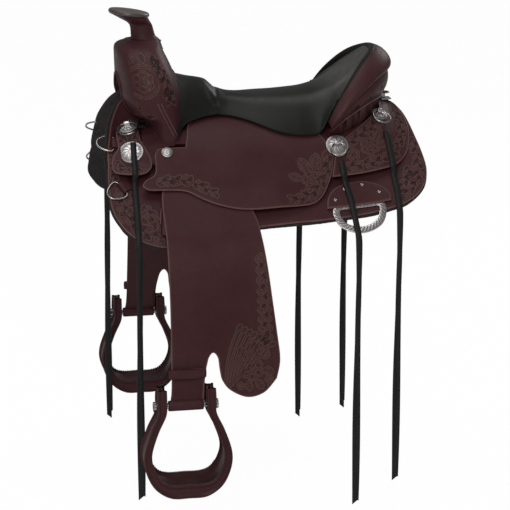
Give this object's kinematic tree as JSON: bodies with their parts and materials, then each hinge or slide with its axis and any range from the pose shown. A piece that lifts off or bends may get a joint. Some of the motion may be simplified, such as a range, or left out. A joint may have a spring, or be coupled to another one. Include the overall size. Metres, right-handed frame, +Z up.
{
  "type": "western trail saddle",
  "caption": "Western trail saddle on a hard tree, with leather skirts and jockeys, swinging fenders and stirrups, rigging dees, ring conchos and long tie strings.",
  "frame": {"origin": "on the middle line of the fleece's underside, where the horse's back is, below the seat's lowest point", "axes": "+X towards the cantle and the horse's tail, -Y the near (left) side, +Z up"},
  "size_m": [0.694, 0.791, 1.0289],
  "materials": {
    "tree_wood": "satin",
    "fork_cover": "tooled, waxed",
    "horn_steel": "satin",
    "horn_wrap": "waxed",
    "seat_leather": "smooth, waxed",
    "dark_leather": "tooled, waxed",
    "fleece": "matt pile",
    "hardware_steel": "polished",
    "engraved_silver": "antiqued",
    "thong_leather": "matt",
    "ground_leather": "plain"
  },
  "bodies": {
    "saddle": {"cantle_back": "dark_leather", "cantle_roll": "dark_leather", "concho_front_left": "engraved_silver", "concho_front_right": "engraved_silver", "concho_rear_left": "engraved_silver", "concho_rear_right": "engraved_silver", "concho_seat_left": "engraved_silver", "concho_seat_right": "engraved_silver", "crupper_plate": "hardware_steel", "fleece_left": "fleece", "fleece_right": "fleece", "fork_cover": "fork_cover", "front_jockey_left": "dark_leather", "front_jockey_right": "dark_leather", "ground_seat": "ground_leather", "horn_cap": "horn_wrap", "horn_core": "horn_steel", "horn_wrap": "horn_wrap", "rear_jockey_left": "dark_leather", "rear_jockey_right": "dark_leather", "rigging_dee_front_left": "hardware_steel", "rigging_dee_front_right": "hardware_steel", "rigging_dee_rear_left": "hardware_steel", "rigging_dee_rear_right": "hardware_steel", "rigging_plate_left": "dark_leather", "rigging_plate_right": "dark_leather", "seat": "seat_leather", "side_jockey_left": "dark_leather", "side_jockey_right": "dark_leather", "skirt_left": "dark_leather", "skirt_right": "dark_leather", "strings_front_left": "thong_leather", "strings_front_right": "thong_leather", "strings_rear_left": "thong_leather", "strings_rear_right": "thong_leather", "strings_seat_left": "thong_leather", "strings_seat_right": "thong_leather", "tree_bar_left": "tree_wood", "tree_bar_right": "tree_wood", "tree_cantle": "tree_wood", "tree_fork": "tree_wood"},
    "stirrup_leather_left": {"stirrup_leather_left": "dark_leather"},
    "fender_left": {"fender_left": "dark_leather"},
    "stirrup_left": {"stirrup_left": "dark_leather", "stirrup_bolt_left": "hardware_steel"},
    "breast_dee_upper_left": {"breast_dee_upper_left": "hardware_steel"},
    "breast_dee_lower_left": {"breast_dee_lower_left": "hardware_steel"},
    "concho_ring_front_left": {"concho_ring_front_left": "engraved_silver"},
    "concho_ring_seat_left": {"concho_ring_seat_left": "engraved_silver"},
    "concho_ring_rear_left": {"concho_ring_rear_left": "engraved_silver"},
    "stirrup_leather_right": {"stirrup_leather_right": "dark_leather"},
    "fender_right": {"fender_right": "dark_leather"},
    "stirrup_right": {"stirrup_right": "dark_leather", "stirrup_bolt_right": "hardware_steel"},
    "breast_dee_upper_right": {"breast_dee_upper_right": "hardware_steel"},
    "breast_dee_lower_right": {"breast_dee_lower_right": "hardware_steel"},
    "concho_ring_front_right": {"concho_ring_front_right": "engraved_silver"},
    "concho_ring_seat_right": {"concho_ring_seat_right": "engraved_silver"},
    "concho_ring_rear_right": {"concho_ring_rear_right": "engraved_silver"},
    "crupper_ring": {"crupper_ring": "hardware_steel"}
  },
  "joints": [
    {"name": "fender_swing_left", "type": "hinge", "parent": "saddle", "child": "stirrup_leather_left", "pos_m": [-0.178, -0.1462, -0.05285], "axis": [0, -0.7071, 0.7071], "range_deg": [-15, 15]},
    {"name": "fender_fold_left", "type": "hinge", "parent": "stirrup_leather_left", "child": "fender_left", "pos_m": [-0.201, -0.27721, -0.17169], "axis": [-1, 0, 0], "range_deg": [0, 110]},
    {"name": "stirrup_pivot_left", "type": "hinge", "parent": "fender_left", "child": "stirrup_left", "pos_m": [-0.203, -0.35254, -0.50747], "axis": [-1, 0, 0], "range_deg": [-7, 60]},
    {"name": "breast_dee_upper_left_swing", "type": "hinge", "parent": "saddle", "child": "breast_dee_upper_left", "pos_m": [-0.311, -0.09778, -0.01038], "axis": [0.0611, 0.7895, 0.6107], "range_deg": [0, 110]},
    {"name": "breast_dee_lower_left_swing", "type": "hinge", "parent": "saddle", "child": "breast_dee_lower_left", "pos_m": [-0.304, -0.17828, -0.08812], "axis": [-0.5428, 0.5661, 0.6204], "range_deg": [0, 110]},
    {"name": "concho_ring_front_left_swing", "type": "hinge", "parent": "saddle", "child": "concho_ring_front_left", "pos_m": [-0.27805, -0.06439, 0.02587], "axis": [-0.9683, 0.1044, -0.227], "range_deg": [0, 60]},
    {"name": "concho_ring_seat_left_swing", "type": "hinge", "parent": "saddle", "child": "concho_ring_seat_left", "pos_m": [0.15555, -0.15444, -0.01432], "axis": [-0.9976, 0, -0.0694], "range_deg": [0, 95]},
    {"name": "concho_ring_rear_left_swing", "type": "hinge", "parent": "saddle", "child": "concho_ring_rear_left", "pos_m": [0.26255, -0.08795, 0.03791], "axis": [-0.9767, -0.1674, 0.1342], "range_deg": [0, 95]},
    {"name": "fender_swing_right", "type": "hinge", "parent": "saddle", "child": "stirrup_leather_right", "pos_m": [-0.178, 0.1462, -0.05285], "axis": [0, 0.7071, 0.7071], "range_deg": [-15, 15]},
    {"name": "fender_fold_right", "type": "hinge", "parent": "stirrup_leather_right", "child": "fender_right", "pos_m": [-0.201, 0.27721, -0.17169], "axis": [1, 0, 0], "range_deg": [0, 110]},
    {"name": "stirrup_pivot_right", "type": "hinge", "parent": "fender_right", "child": "stirrup_right", "pos_m": [-0.203, 0.35254, -0.50747], "axis": [1, 0, 0], "range_deg": [-7, 60]},
    {"name": "breast_dee_upper_right_swing", "type": "hinge", "parent": "saddle", "child": "breast_dee_upper_right", "pos_m": [-0.311, 0.09778, -0.01038], "axis": [-0.0611, 0.7895, -0.6107], "range_deg": [0, 110]},
    {"name": "breast_dee_lower_right_swing", "type": "hinge", "parent": "saddle", "child": "breast_dee_lower_right", "pos_m": [-0.304, 0.17828, -0.08812], "axis": [0.5428, 0.5661, -0.6204], "range_deg": [0, 110]},
    {"name": "concho_ring_front_right_swing", "type": "hinge", "parent": "saddle", "child": "concho_ring_front_right", "pos_m": [-0.27805, 0.06439, 0.02587], "axis": [0.9683, 0.1044, 0.227], "range_deg": [0, 60]},
    {"name": "concho_ring_seat_right_swing", "type": "hinge", "parent": "saddle", "child": "concho_ring_seat_right", "pos_m": [0.15555, 0.15444, -0.01432], "axis": [0.9976, 0, 0.0694], "range_deg": [0, 95]},
    {"name": "concho_ring_rear_right_swing", "type": "hinge", "parent": "saddle", "child": "concho_ring_rear_right", "pos_m": [0.26255, 0.08795, 0.03791], "axis": [0.9767, -0.1674, -0.1342], "range_deg": [0, 95]},
    {"name": "crupper_ring_swing", "type": "hinge", "parent": "saddle", "child": "crupper_ring", "pos_m": [0.2935, 0, 0.0617], "axis": [0, 1, 0], "range_deg": [-50, 40]}
  ]
}
